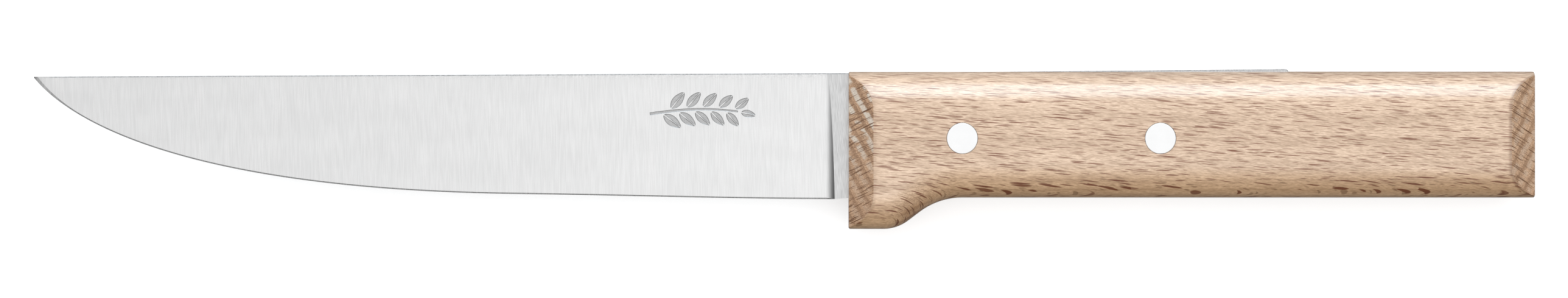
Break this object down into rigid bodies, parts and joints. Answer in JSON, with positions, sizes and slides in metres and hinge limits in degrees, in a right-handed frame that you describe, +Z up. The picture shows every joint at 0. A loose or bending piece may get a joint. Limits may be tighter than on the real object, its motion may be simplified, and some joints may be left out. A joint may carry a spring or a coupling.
{
  "type": "boning knife",
  "caption": "Fixed-blade kitchen knife: flat-ground steel blade with a straight spine and a curved belly, tang set in a slotted, faceted beech handle with a finger guard and riveted through.",
  "frame": {"origin": "under the middle of the whole knife, on the surface it lies on", "axes": "the knife lies on its right side: +X runs from the blade's tip to the handle's butt, +Y points from the cutting edge to the spine, +Z is up, through the thickness"},
  "size_m": [0.2946, 0.0314, 0.017],
  "materials": {
    "blade_steel": "fine satin, ground across the blade",
    "beech": "satin clear varnish over beech with dark ray flecks",
    "rivet_metal": "satin, faced off flush with the wood"
  },
  "bodies": {
    "root": {"blade": "blade_steel", "handle": "beech", "front_rivet_post": "rivet_metal", "front_rivet_sleeve": "rivet_metal", "rear_rivet_post": "rivet_metal", "rear_rivet_sleeve": "rivet_metal"}
  },
  "joints": []
}
